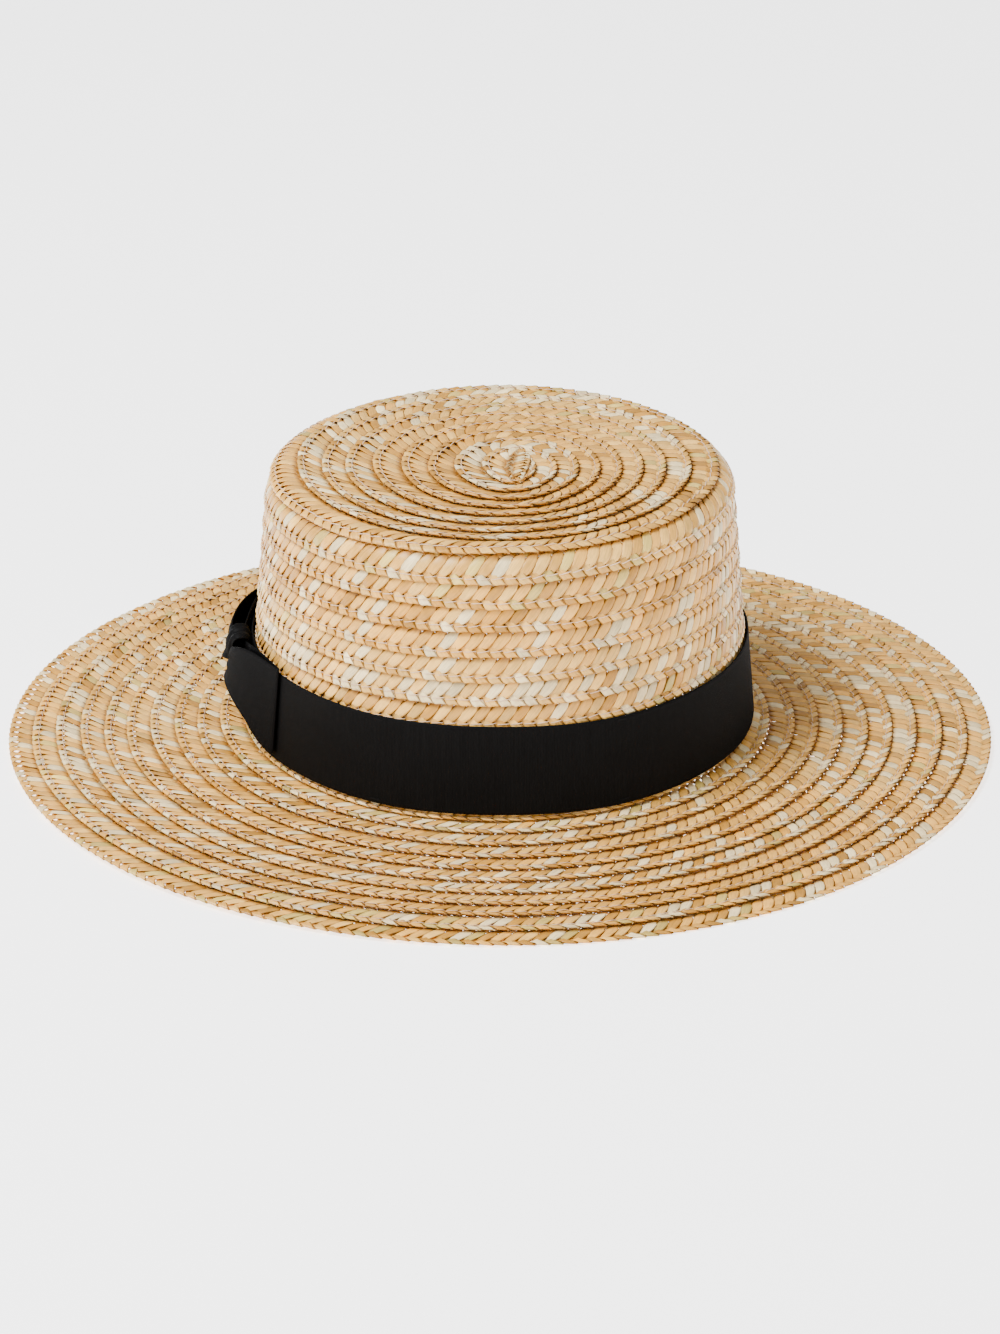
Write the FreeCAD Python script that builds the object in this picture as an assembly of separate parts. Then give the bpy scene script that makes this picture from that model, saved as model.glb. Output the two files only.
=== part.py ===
import FreeCAD, Part
import math
import os

# A straw sun hat: a flat-topped crown and a wide flat brim, sewn from one long plait of wheat straw
# that winds outwards turn by turn, with a grosgrain ribbon and a bow on the wearer's right.
# Each turn of the plait is a row: a thin plate whose outer edge lies on the next row's inner edge.
# Millimetres. +Z up, the front of the hat faces -Y, the bow is on -X. The brim rests on z = 0.

os.makedirs("parts", exist_ok=True)

# --- Driving dimensions ------------------------------------------------------------------------
OVAL_EXTRA = 8.0        # how much longer a head is than wide, each way: every row keeps it

PLAIT_THICKNESS = 1.5
PLAIT_PITCH = 8.73      # how far each turn steps out from the one before
PLAIT_LAP = 4.6         # how far each turn reaches back under the one before
ROW_COUNTS = (("tip_row", 9), ("side_row", 11), ("brim_row", 10))
FIRST_ROW_EDGE = 9.3    # along the profile from the centre of the tip
START_HOLE = 6.0        # half width of the hole inside the first turn
START_HALF_WIDTH = 6.6
START_HALF_LENGTH = 15.0
START_LIFT = 2.65       # the folded start lies on the first turn

TIP_FLAT = 73.4         # the profile: flat tip, round corner, wall, sharp bend, brim
TIP_DISH = 3.0          # degrees that the tip has risen by its rim
CORNER_RADIUS = 7.7
WALL_LEAN = 4.8         # degrees: the wall is wider at the bottom
WALL_LENGTH = 85.2
BEND_RADIUS = 4.5
BRIM_START_DROP = 5.5   # degrees: the brim falls away, then levels out
BRIM_END_DROP = 0.2

THREAD_INSET = 1.6      # seam, in from each row's outer edge
THREAD_WIDTH = 0.5
THREAD_HEIGHT = 0.25
THREAD_GAP = 0.04       # clears the flat facets of the row below

RIBBON_HEIGHT = 32.0
RIBBON_THICKNESS = 0.6
RIBBON_BOTTOM = 8.6
RIBBON_GAP = 0.12       # between the ribbon and the rows' edges, and behind the sweatband

SWEATBAND_HEIGHT = 27.0
SWEATBAND_THICKNESS = 0.7
SWEATBAND_SEAM = 3.0    # up from the sweatband's lower edge
LABEL_HEIGHT = 14.0
LABEL_HALF_ANGLE = 8.0
LABEL_THICKNESS = 0.4
LABEL_DROP = 1.0        # down from the sweatband's upper edge

BOW_ANGLE = 185.0       # the bow is at the wearer's side, a little towards the front
KNOT_HALF_ANGLE = 4.0   # about the bow side's arc centre, which is near the hat's axis
KNOT_DEPTH = 8.0
LOOP_ROOT_ANGLE = 6.0
LOOP_MIDDLE_ANGLE = 12.0
LOOP_END_ANGLE = 25.0
LOOP_ROOT_DEPTH = 5.5
LOOP_MIDDLE_DEPTH = 8.5
LOOP_END_DEPTH = 1.6
LOOP_CLEARANCE = 0.4    # between a loop, which can lift, and the ribbon band
BOW_LIFT = 2.4          # the bow sits a little higher than the band

TACK_ANGLES = (60.0, 120.0, 240.0, 300.0)
TACK_LENGTH = 4.0
TACK_THICKNESS = 0.3
TACK_INSET = 1.5        # from the ribbon's edges

# --- Worked-out values ---------------------------------------------------------------------------
UP = FreeCAD.Vector(0, 0, 1)
ROWS = sum(count for _, count in ROW_COUNTS)
PROFILE_LENGTH = FIRST_ROW_EDGE + (ROWS - 1) * PLAIT_PITCH
ROW_TILT = math.degrees(math.atan(PLAIT_THICKNESS / PLAIT_PITCH))
ARC_OFFSET = OVAL_EXTRA / (2 - math.sqrt(2))
INNER_DROP = PLAIT_THICKNESS * PLAIT_LAP / PLAIT_PITCH
OUTER_RISE = 2 * PLAIT_THICKNESS


def arc_length(radius, degrees):
    """Length of a round stretch of the profile."""
    return radius * math.radians(degrees)


EDGE_FLAT = PLAIT_PITCH + PLAIT_LAP
CORNER_TURN = TIP_DISH + 90 - WALL_LEAN
BEND_TURN = 90 - WALL_LEAN - BRIM_START_DROP
CORNER_LENGTH = arc_length(CORNER_RADIUS, CORNER_TURN)
BEND_LENGTH = arc_length(BEND_RADIUS, BEND_TURN)
BRIM_LENGTH = (PROFILE_LENGTH - TIP_FLAT - CORNER_LENGTH - WALL_LENGTH - BEND_LENGTH - EDGE_FLAT)

# Stretches of the profile as (length, turn in degrees), from the tip's centre to the brim's edge.
# Every turn is spread evenly over its stretch. The last stretch falls at the rows' own tilt,
# so that the underside of the last row is level and the hat rests on it.
PROFILE = (
    (TIP_FLAT, TIP_DISH),
    (CORNER_LENGTH, -CORNER_TURN),
    (WALL_LENGTH, 0.0),
    (BEND_LENGTH, BEND_TURN),
    (BRIM_LENGTH, BRIM_START_DROP - BRIM_END_DROP),
    (0.0, BRIM_END_DROP - ROW_TILT),
    (EDGE_FLAT, 0.0),
)
BREAKS = [sum(length for length, _ in PROFILE[:i]) for i in range(1, len(PROFILE))]
BREAKS += [TIP_FLAT + CORNER_LENGTH / 2]
BREAKS += [BREAKS[2] + BEND_LENGTH * quarter / 4 for quarter in (1, 2, 3)]


def walk(distance):
    """Follow the profile from the tip's centre: half width, height and heading in degrees."""
    half_width, height, heading = 0.0, 0.0, 0.0
    for length, turn in PROFILE:
        part = min(distance, length)
        turned = turn * part / length if length > 0 else turn
        chord = part
        if abs(turned) > 1e-9 and part > 0:
            half_turn = math.radians(turned / 2)
            chord = part * math.sin(half_turn) / half_turn
        middle = math.radians(heading + turned / 2)
        half_width += chord * math.cos(middle)
        height += chord * math.sin(middle)
        heading += turned
        distance -= part
        if distance < -1e-9 or (distance <= 1e-9 and part < length - 1e-9):
            break
    return half_width, height, heading


LAST_ROW_START = PROFILE_LENGTH - PLAIT_PITCH
TIP_HEIGHT = -walk(LAST_ROW_START)[1]


def surface(distance, above):
    """The point a given height above the profile, as (half width, z)."""
    half_width, height, heading = walk(distance)
    angle = math.radians(heading)
    return half_width - above * math.sin(angle), TIP_HEIGHT + height + above * math.cos(angle)


def oval_point(half_width, degrees, z):
    """Where the oval of one half width has its outward normal at an angle from +X."""
    nx = math.cos(math.radians(degrees))
    ny = math.sin(math.radians(degrees))
    if abs(ny) > math.sqrt(0.5):
        radius = half_width + OVAL_EXTRA - ARC_OFFSET
        return FreeCAD.Vector(radius * nx, math.copysign(ARC_OFFSET, ny) + radius * ny, z)
    radius = half_width + ARC_OFFSET
    return FreeCAD.Vector(radius * nx - math.copysign(ARC_OFFSET, nx), radius * ny, z)


def sweep(section, start, sweep_angle, middle):
    """Turn a section of (half width, z) points about the centre of the oval's arc at middle."""
    end_arc = abs(math.sin(math.radians(middle))) > math.sqrt(0.5)
    side = math.sin(math.radians(middle)) if end_arc else -math.cos(math.radians(middle))
    offset = math.copysign(ARC_OFFSET, side)
    centre = FreeCAD.Vector(0, offset, 0) if end_arc else FreeCAD.Vector(offset, 0, 0)
    stretch = OVAL_EXTRA - ARC_OFFSET if end_arc else ARC_OFFSET
    direction = FreeCAD.Vector(math.cos(math.radians(start)), math.sin(math.radians(start)), 0)
    points = [centre + direction * (w + stretch) + UP * z for w, z in section]
    face = Part.Face(Part.makePolygon(points + points[:1]))
    return face.revolve(centre, UP, sweep_angle)


def oval_ring(section):
    """A closed ring of one section all round the oval: two end arcs and two side arcs."""
    quarters = [sweep(section, middle - 45, 90, middle) for middle in (0, 90, 180, 270)]
    ring = quarters[0].fuse(quarters[1:])
    return ring.removeSplitter().Solids[0]


def export(name, shape):
    """Write one sub-part and print its size."""
    box = shape.BoundBox
    print("%-20s solids %3d  volume %8.0f  z %6.1f to %6.1f  half width %6.1f  valid %s" % (
        name, len(shape.Solids), shape.Volume, box.ZMin, box.ZMax, box.XMax, shape.isValid()))
    shape.exportStep("parts/%s.step" % name)


# --- The plait ---------------------------------------------------------------------------------
def row_edge(number):
    """Distance along the profile to a row's outer edge. Row 1 is the innermost."""
    return FIRST_ROW_EDGE + (number - 1) * PLAIT_PITCH


def row_height(number, distance):
    """Height of a row's underside: it climbs one thickness over one pitch, to lie on the next."""
    return PLAIT_THICKNESS * (distance - row_edge(number - 1)) / PLAIT_PITCH


def row_stations(number):
    """Distances at which a row's section has a point, shared with the rows beside it."""
    start = row_edge(number - 1)
    end = row_edge(number)
    stations = [start - PLAIT_LAP, start, end - PLAIT_LAP, end]
    stations += [b for b in BREAKS if stations[0] < b < end]
    return sorted(set(max(round(s, 6), START_HOLE) for s in stations))


def plait_row(number):
    """One turn of the plait as a closed oval plate."""
    stations = row_stations(number)
    lower = [surface(s, row_height(number, s)) for s in stations]
    upper = [surface(s, row_height(number, s) + PLAIT_THICKNESS) for s in stations]
    return oval_ring(lower + upper[::-1])


def seam_thread(number):
    """The seam along one row: a flat thread lying near the row's outer edge."""
    middle = row_edge(number) - THREAD_INSET
    ends = (middle - THREAD_WIDTH / 2, middle + THREAD_WIDTH / 2)
    top = PLAIT_THICKNESS + THREAD_GAP
    lower = [surface(s, row_height(number, s) + top) for s in ends]
    upper = [surface(s, row_height(number, s) + top + THREAD_HEIGHT) for s in ends]
    return oval_ring(lower + upper[::-1])


def plait_start():
    """The folded start of the plait: a leaf shape between two arcs, lying on the first turn."""
    z = TIP_HEIGHT + START_LIFT
    front = FreeCAD.Vector(0, -START_HALF_LENGTH, z)
    back = FreeCAD.Vector(0, START_HALF_LENGTH, z)
    right = Part.Arc(front, FreeCAD.Vector(START_HALF_WIDTH, 0, z), back).toShape()
    left = Part.Arc(back, FreeCAD.Vector(-START_HALF_WIDTH, 0, z), front).toShape()
    return Part.Face(Part.Wire([right, left])).extrude(UP * PLAIT_THICKNESS)


def make_plait():
    """The start, every row, and the seams of the tip, the side and the brim."""
    export("plait_start", plait_start())
    number = 0
    for zone, count in ROW_COUNTS:
        seams = []
        for index in range(1, count + 1):
            number += 1
            export("%s_%02d" % (zone, index), plait_row(number))
            seams.append(seam_thread(number))
        export(zone.replace("row", "seam_thread"), Part.makeCompound(seams))


# --- Ribbon, bow and sweatband ---------------------------------------------------------------------
WALL_TOP = TIP_FLAT + CORNER_LENGTH
WALL_BOTTOM = WALL_TOP + WALL_LENGTH
WALL_SLOPE = math.tan(math.radians(WALL_LEAN))
RIBBON_OUTSIDE = OUTER_RISE + RIBBON_GAP + RIBBON_THICKNESS


def wall_width(z, above):
    """Half width of the surface that stands a given height off the wall, at one z."""
    width, height = surface(WALL_BOTTOM, above)
    return width - (z - height) * WALL_SLOPE


def wall_section(z_low, z_high, inside, outside):
    """A section that stands on the wall between two heights off it, cut level at both ends."""
    return [
        (wall_width(z_low, inside), z_low), (wall_width(z_low, outside), z_low),
        (wall_width(z_high, outside), z_high), (wall_width(z_high, inside), z_high),
    ]


def make_ribbon_band():
    """The ribbon round the foot of the crown, and the stitches that hold its two edges."""
    low = RIBBON_BOTTOM
    high = low + RIBBON_HEIGHT
    inside = OUTER_RISE + RIBBON_GAP
    export("ribbon_band", oval_ring(wall_section(low, high, inside, RIBBON_OUTSIDE)))
    tacks = []
    for angle in TACK_ANGLES:
        half_angle = math.degrees(TACK_LENGTH / 2 / wall_width(low, RIBBON_OUTSIDE))
        for z in (low + TACK_INSET, high - TACK_INSET):
            section = wall_section(z - THREAD_WIDTH / 2, z + THREAD_WIDTH / 2,
                                   RIBBON_OUTSIDE, RIBBON_OUTSIDE + TACK_THICKNESS)
            middle = 90 if angle < 180 else 270
            tacks.append(sweep(section, angle - half_angle, 2 * half_angle, middle))
    export("band_tack_stitches", Part.makeCompound(tacks))


def leaning_block(outline):
    """A block with one outline of (half width off the ribbon, angle) corners, leaning with the wall.

    Each side of the outline goes through a middle point, so that it is an arc."""
    wires = []
    for z in (RIBBON_BOTTOM + BOW_LIFT, RIBBON_BOTTOM + BOW_LIFT + RIBBON_HEIGHT):
        base = wall_width(z, RIBBON_OUTSIDE)
        edges = []
        for start, middle, end in outline:
            a, m, b = (oval_point(base + depth, BOW_ANGLE + angle, z) for depth, angle in (start, middle, end))
            edges.append(Part.Arc(a, m, b).toShape() if m != a else Part.makeLine(a, b))
        wires.append(Part.Wire(edges))
    return Part.makeLoft(wires, True, True)


def make_bow():
    """The knot in the middle, and a loop on each side that ends in a fold."""
    knot = KNOT_HALF_ANGLE
    near_left, near_right = (0.0, -knot), (0.0, knot)
    far_left, far_right = (KNOT_DEPTH, -knot), (KNOT_DEPTH, knot)
    export("bow_knot", leaning_block([
        (near_left, (0.0, 0.0), near_right), (near_right, near_right, far_right),
        (far_right, (KNOT_DEPTH, 0.0), far_left), (far_left, far_left, near_left)]))
    for name, side in (("bow_front_loop", 1), ("bow_back_loop", -1)):
        root, middle, end = (side * a for a in (LOOP_ROOT_ANGLE, LOOP_MIDDLE_ANGLE, LOOP_END_ANGLE))
        near_root, near_end = (LOOP_CLEARANCE, root), (LOOP_CLEARANCE, end)
        far_root, far_end = (LOOP_ROOT_DEPTH, root), (LOOP_END_DEPTH, end)
        export(name, leaning_block([
            (near_root, (LOOP_CLEARANCE, (root + end) / 2), near_end), (near_end, near_end, far_end),
            (far_end, (LOOP_MIDDLE_DEPTH, middle), far_root), (far_root, far_root, near_root)]))
        hinge = oval_point(
            wall_width(RIBBON_BOTTOM, RIBBON_OUTSIDE) + LOOP_ROOT_DEPTH / 2, BOW_ANGLE + root, 0)
        print("%s hinge at x %.2f y %.2f" % (name, hinge.x, hinge.y))


def make_sweatband():
    """The band inside the crown's foot, its seam, and a blank size label at the back."""
    outside = -INNER_DROP - RIBBON_GAP
    inside = outside - SWEATBAND_THICKNESS
    low = surface(WALL_BOTTOM, outside)[1]
    high = low + SWEATBAND_HEIGHT
    export("sweatband", oval_ring(wall_section(low, high, inside, outside)))
    seam = low + SWEATBAND_SEAM
    export("sweatband_stitching", oval_ring(
        wall_section(seam - THREAD_WIDTH / 2, seam + THREAD_WIDTH / 2, inside - THREAD_HEIGHT, inside)))
    label = wall_section(high - LABEL_HEIGHT, high - LABEL_DROP, inside - LABEL_THICKNESS, inside)
    export("size_label", sweep(label, 90 - LABEL_HALF_ANGLE, 2 * LABEL_HALF_ANGLE, 90))
    print("inside of the sweatband: half width %.1f, half length %.1f" % (
        wall_width(low, inside), wall_width(low, inside) + OVAL_EXTRA))


make_plait()
make_ribbon_band()
make_bow()
make_sweatband()
print("profile length %.2f, brim stretch %.2f, tip height %.2f" % (PROFILE_LENGTH, BRIM_LENGTH, TIP_HEIGHT))
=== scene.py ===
# %% [markdown]
# # A straw sun hat, sewn from wheat plait
# The hat is one long flat plait, made here with seven straws at a time, and sewn round and round
# from the middle of the tip to the edge of the brim, with a black grosgrain ribbon and a bow. This
# script loads the imported CAD model as a fixed frame, and then makes the looks of each piece in the
# place that the CAD gives it. The first cell loads the frame, and the boxes of its parts later give
# the heights of the cloth pieces.

# %% Load the frame
import math
import bmesh
import bpy
import numpy as np
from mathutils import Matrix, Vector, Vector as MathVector


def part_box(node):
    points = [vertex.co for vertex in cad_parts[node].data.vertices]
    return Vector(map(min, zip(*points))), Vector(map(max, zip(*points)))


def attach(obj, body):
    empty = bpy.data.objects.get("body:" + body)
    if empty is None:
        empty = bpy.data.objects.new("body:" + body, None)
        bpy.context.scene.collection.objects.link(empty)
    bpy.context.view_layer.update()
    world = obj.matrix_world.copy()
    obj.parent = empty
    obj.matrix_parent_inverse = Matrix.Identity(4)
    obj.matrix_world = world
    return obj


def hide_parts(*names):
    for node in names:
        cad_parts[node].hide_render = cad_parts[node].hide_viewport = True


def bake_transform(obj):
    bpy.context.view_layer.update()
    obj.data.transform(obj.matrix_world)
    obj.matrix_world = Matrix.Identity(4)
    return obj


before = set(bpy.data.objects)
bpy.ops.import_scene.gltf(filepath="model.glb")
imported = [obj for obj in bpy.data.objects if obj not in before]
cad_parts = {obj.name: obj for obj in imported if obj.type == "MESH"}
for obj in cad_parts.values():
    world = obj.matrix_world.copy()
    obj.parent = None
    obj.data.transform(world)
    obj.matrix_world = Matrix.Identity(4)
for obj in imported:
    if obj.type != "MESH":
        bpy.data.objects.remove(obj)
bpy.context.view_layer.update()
MM = 0.001

# %% [markdown]
# ## The hat's profile
# Cut a hat through the middle and its edge is a simple line: flat tip, round corner, wall, sharp
# bend, brim. A spline could be drawn through points, but a milliner thinks in stretches: "so many
# millimetres straight, then turn by so much". The profile is that list, in millimetres and degrees,
# the same one that the CAD rows stand on. Each turn is spread evenly over its stretch, so every
# stretch is a line or an arc, and the place at any distance from the centre is a short sum.

# %% The profile and the rows
PITCH = 8.73            # how far each turn of the plait steps out
LAP = 4.6               # how far it reaches back under the turn before
THICKNESS = 1.5
ROWS = 30
SIDE_START, BRIM_START = 9, 20
FIRST_EDGE = 9.3
LAST_EDGE = FIRST_EDGE + (ROWS - 1) * PITCH
PLAIT_HALF = (PITCH + LAP) / 2
ROW_TILT = math.degrees(math.atan(THICKNESS / PITCH))
TIP, TIP_TURN = 73.4, 3.0
WALL = 85.2
CORNER_TURN, CORNER_RADIUS = 88.2, 7.7
BEND_TURN, BEND_RADIUS = 79.7, 4.5
CORNER = math.radians(CORNER_TURN) * CORNER_RADIUS
BEND = math.radians(BEND_TURN) * BEND_RADIUS
BRIM = LAST_EDGE - TIP - CORNER - WALL - BEND - PITCH - LAP
EDGE = 3.0              # the last of the brim, which bends flat
PROFILE = ((TIP, TIP_TURN), (CORNER, -CORNER_TURN), (WALL, 0.0), (BEND, BEND_TURN),
           (BRIM - EDGE, 5.3), (EDGE, 0.2 - ROW_TILT), (PITCH + LAP + 10, 0.0))
WALL_LOW = TIP + CORNER + WALL


def walk(distance):
    """Half width, height and heading at a distance from the centre: the stretches, added up."""
    left = np.maximum(np.asarray(distance, float), 0.0)
    width, height, heading = np.zeros_like(left), np.zeros_like(left), np.zeros_like(left)
    for length, turn in PROFILE:
        part = np.clip(left, 0.0, length)
        half = np.radians(turn / 2 * part / length)
        chord = part * np.sinc(half / np.pi)
        width += chord * np.cos(np.radians(heading) + half)
        height += chord * np.sin(np.radians(heading) + half)
        heading += 2 * np.degrees(half)
        left = left - length
    return width, height, heading


TIP_HEIGHT = -float(walk(LAST_EDGE - PITCH)[1])


def surface(distance, above):
    """The point at a height off the profile: half width and z. The height is along the normal."""
    width, height, heading = walk(distance)
    angle = np.radians(heading)
    return width - above * np.sin(angle), TIP_HEIGHT + height + above * np.cos(angle)


print("the profile is %.1f mm long and the tip is %.1f mm up" % (LAST_EDGE, TIP_HEIGHT))

# %% [markdown]
# ## The oval of a head
# A head is longer than it is wide, so every row is an oval. An ellipse would do for one row, but the
# line beside an ellipse is not an ellipse, and the rows would drift apart. A draughtsman's oval of
# four arcs keeps its gap: each arc grows about its own centre. Inside the first turn the arcs would
# cross, so there the oval shrinks towards a short line instead, and leaves the slot that the
# leaf-shaped start of the plait lies over.

# %% The oval
OVAL_EXTRA = 8.0        # how much longer than wide, each way
ARC = OVAL_EXTRA / (2 - math.sqrt(2))
SMALLEST = 8.0          # half width below which the oval shrinks to a line
START_SIDESTEP = 6.5    # the start sits to one side of the tip, and the turns even it out
EVEN_FROM = 55.0


def oval(width, azimuth):
    """The point whose outward normal has this azimuth: arc centre plus radius times normal."""
    w = np.maximum(width, SMALLEST)
    nx, ny = np.cos(azimuth), np.sin(azimuth)
    end = np.abs(ny) > math.sqrt(0.5)
    x = np.where(end, (w + OVAL_EXTRA - ARC) * nx, (w + ARC) * nx - np.sign(nx) * ARC)
    y = np.where(end, (w + OVAL_EXTRA - ARC) * ny + np.sign(ny) * ARC, (w + ARC) * ny)
    share = np.clip(width / SMALLEST, 0.0, 1.0)
    sidestep = START_SIDESTEP * np.clip(1 - width / EVEN_FROM, 0.0, 1.0)
    return x * share + sidestep, y * (0.8 + 0.2 * share)


def unevenness(azimuth, distance):
    """How far the sewn straw stands up from true: slow waves that grow over the brim."""
    out = np.clip((distance - WALL_LOW) / (LAST_EDGE - WALL_LOW), 0.0, 1.0)
    wave = 1 + 0.55 * np.sin(2 * azimuth + 0.6) + 0.45 * np.sin(3 * azimuth + 2.2)
    return 0.7 * out**2 * wave


def place(azimuth, distance, above):
    """World point, in millimetres, of a point on the hat: its oval at that profile distance."""
    width, z = surface(distance, above)
    x, y = oval(width, azimuth)
    return np.stack([x, y, z + unevenness(azimuth, distance)], axis=-1)


foot = 2 * surface(WALL_LOW, 0)[0]
print("the crown's foot is %.0f by %.0f mm" % (foot, foot + 2 * OVAL_EXTRA))

# %% [markdown]
# ## The spiral
# The rows look like rings, but they are turns of one spiral. Its outer edge steps out by one pitch
# in each turn. On the brim a milliner lets the step happen at the back, so that the edge of the hat
# stays even all round, and the end of the plait is tucked in there. The spiral here goes clockwise,
# seen from above, and starts each turn at the back. Its length decides how many strands go round, so
# a table of length against turn is worked out once, in steps of one degree.

# %% The spiral
TUCK_TURN = 0.10        # share of the last turn over which the end is tucked in


def edge_distance(turn):
    """Profile distance of the plait's outer edge.

    Even steps on the crown, steps gathered at the back on the brim, and three sines of wobble."""
    turns = turn / (2 * np.pi)
    row = np.clip(np.floor(turns), -1, ROWS - 1)
    across = 2 * (turns - row) - 1
    even = across / 2
    late = np.sign(across) * np.abs(across) ** 9 / 2
    mix = np.clip((turns - BRIM_START + 1) / (ROWS - BRIM_START), 0.0, 1.0)
    wobble = 0.22 * np.sin(2.31 * turn + 1.0) + 0.16 * np.sin(5.27 * turn)
    wobble = wobble + 0.10 * np.sin(11.7 * turn + 2)
    wobble = wobble * np.clip((ROWS - turns) / 2, 0.25, 1.0) * np.clip(turns / 2, 0.0, 1.0)
    edge = FIRST_EDGE + PITCH * (row + even * (1 - mix) + late * mix) + wobble
    return np.minimum(edge, LAST_EDGE) - tuck(turn) * (PITCH / 2 + 1.5)


def tuck(turn):
    """From 0 to 1 over the last stretch, where the end goes under the row before."""
    share = np.clip((turn / (2 * np.pi) - ROWS + TUCK_TURN) / TUCK_TURN, 0.0, 1.0)
    return share * share * (3 - 2 * share)


def path_table():
    """Turn and length, degree by degree: each step is the local radius times the angle."""
    turns = np.radians(np.arange(-180, ROWS * 360 + 46))
    edge = edge_distance(turns)
    middle = walk(np.maximum(edge - PLAIT_HALF, 0.72 * edge))[0]
    ends = np.abs(np.sin(np.pi / 2 - turns)) > math.sqrt(0.5)
    radius = np.maximum(middle + np.where(ends, OVAL_EXTRA - ARC, ARC), 2.5)
    steps = radius[1:] * np.diff(turns)
    return turns, np.concatenate([[0.0], np.cumsum(steps)])


TURNS, LENGTHS = path_table()
print("the plait is %.1f m long" % (LENGTHS[-1] / 1000))

# %% [markdown]
# ## Laying the plait
# The plait is worked out flat, as if on a table: a length along it, a place across it, and a height.
# One function then lays it on the hat. A row's own plane is tilted against the profile, because its
# outer edge lies on the next row, so the height climbs by one thickness over one pitch.

# %% Lay the flat plait on the hat
def lay(length, across, height):
    """World points of the flat plait: length gives the turn, across the profile distance."""
    turn = np.interp(length, LENGTHS, TURNS)
    edge = edge_distance(turn)
    room = np.clip((edge - 0.3) / (2 * PLAIT_HALF), 0.02, 1.0)
    back = (PLAIT_HALF - across) * room
    folded = tuck(turn)
    climb = THICKNESS * (1.5 - back / PITCH) - 0.5 * folded
    return place(np.pi / 2 - turn, edge - back, climb + height * (1 - 0.5 * folded))


def new_piece(name, points, faces, body="hat"):
    """A smooth mesh piece from points in millimetres and four-cornered faces."""
    mesh = bpy.data.meshes.new(name)
    flat = np.ascontiguousarray(points, float).reshape(-1, 3)
    quads = np.ascontiguousarray(faces, np.int32).reshape(-1, 4)
    mesh.vertices.add(len(flat))
    mesh.vertices.foreach_set("co", (flat * MM).astype(np.float32).ravel())
    mesh.loops.add(quads.size)
    mesh.loops.foreach_set("vertex_index", quads.ravel())
    mesh.polygons.add(len(quads))
    mesh.polygons.foreach_set("loop_start", np.arange(0, quads.size, 4, dtype=np.int32))
    mesh.polygons.foreach_set("use_smooth", np.ones(len(quads), bool))
    mesh.update(calc_edges=True)
    piece = bpy.data.objects.new(name, mesh)
    bpy.context.scene.collection.objects.link(piece)
    if body:
        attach(piece, body)
    return piece


def weld(piece):
    """Join the points that fall on each other, so that drawn-in ends are closed."""
    shape = bmesh.new()
    shape.from_mesh(piece.data)
    bmesh.ops.remove_doubles(shape, verts=shape.verts, dist=1e-8)
    shape.to_mesh(piece.data)
    shape.free()


def write_uv(piece, u, v):
    """Give a piece a UV map from one u and v for each point."""
    mesh = piece.data
    index = np.empty(len(mesh.loops), np.int32)
    mesh.loops.foreach_get("vertex_index", index)
    pairs = np.stack([np.ravel(u), np.ravel(v)], axis=-1)[index]
    layer = mesh.uv_layers.new(name="UVMap")
    layer.data.foreach_set("uv", pairs.astype(np.float32).ravel())


def write_colour(piece, name, colour):
    """Give a piece a colour attribute, one colour for each point."""
    rgba = np.concatenate([colour, np.ones((len(colour), 1))], axis=1)
    layer = piece.data.attributes.new(name, "FLOAT_COLOR", "POINT")
    layer.data.foreach_set("color", rgba.astype(np.float32).ravel())


def tube_faces(count, stations, ring, flip):
    """Faces of many tubes at once: each joins two neighbours on a ring to the next ring."""
    tube, station, corner = np.meshgrid(
        np.arange(count), np.arange(stations - 1), np.arange(ring), indexing="ij")
    here = (tube * stations + station) * ring
    near, far = here + corner, here + (corner + 1) % ring
    faces = np.stack([near, far, far + ring, near + ring], axis=-1)
    return faces[..., ::-1] if flip else faces


# %% [markdown]
# ## The straw material
# Wheat straw is waxy and has fine lines along it. Its colour changes from straw to straw, from pale
# cream through gold to a light brown, so the colour comes from the mesh, where each straw knows its
# own, with painted shade mixed in where strands cross and under the next turn's edge. The material
# adds the lines, and painted shade as browner edges where each strand curves down into its gaps. The
# UV map runs along each straw, so a noise that is stretched along it makes streaks that turn with the
# straw. A shader that took all its colour from one noise would ignore where one straw ends and the
# next begins.

# %% Node helpers and the straw
def new_material(name):
    """A material with its node tree and its main shader."""
    material = bpy.data.materials.new(name)
    material.use_nodes = True
    return material, material.node_tree, material.node_tree.nodes["Principled BSDF"]


def add_node(tree, kind, **values):
    """A node whose properties and named inputs are set from values."""
    made = tree.nodes.new(kind)
    for key, value in values.items():
        if key in made.inputs:
            made.inputs[key].default_value = value
        else:
            setattr(made, key, value)
    return made


def mapped(tree, source, scale):
    """A coordinate output, scaled."""
    node = add_node(tree, "ShaderNodeMapping", Scale=scale)
    tree.links.new(source, node.inputs["Vector"])
    return node.outputs["Vector"]


def noise(tree, vector, scale, detail=2.0, roughness=0.5):
    """A noise value on a coordinate."""
    node = add_node(tree, "ShaderNodeTexNoise", Scale=scale, Detail=detail, Roughness=roughness)
    tree.links.new(vector, node.inputs["Vector"])
    return node.outputs["Fac"]


def remap(tree, value, low, high, new_low, new_high):
    """Stretch a value from one range to another."""
    node = tree.nodes.new("ShaderNodeMapRange")
    tree.links.new(value, node.inputs["Value"])
    keys = ("From Min", "From Max", "To Min", "To Max")
    for key, number in zip(keys, (low, high, new_low, new_high)):
        node.inputs[key].default_value = number
    return node.outputs["Result"]


def maths(tree, operation, *values):
    """A sum of two values, each a socket or a number."""
    node = add_node(tree, "ShaderNodeMath", operation=operation)
    for number, value in enumerate(values):
        if isinstance(value, float):
            node.inputs[number].default_value = value
        else:
            tree.links.new(value, node.inputs[number])
    return node.outputs[0]


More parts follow.
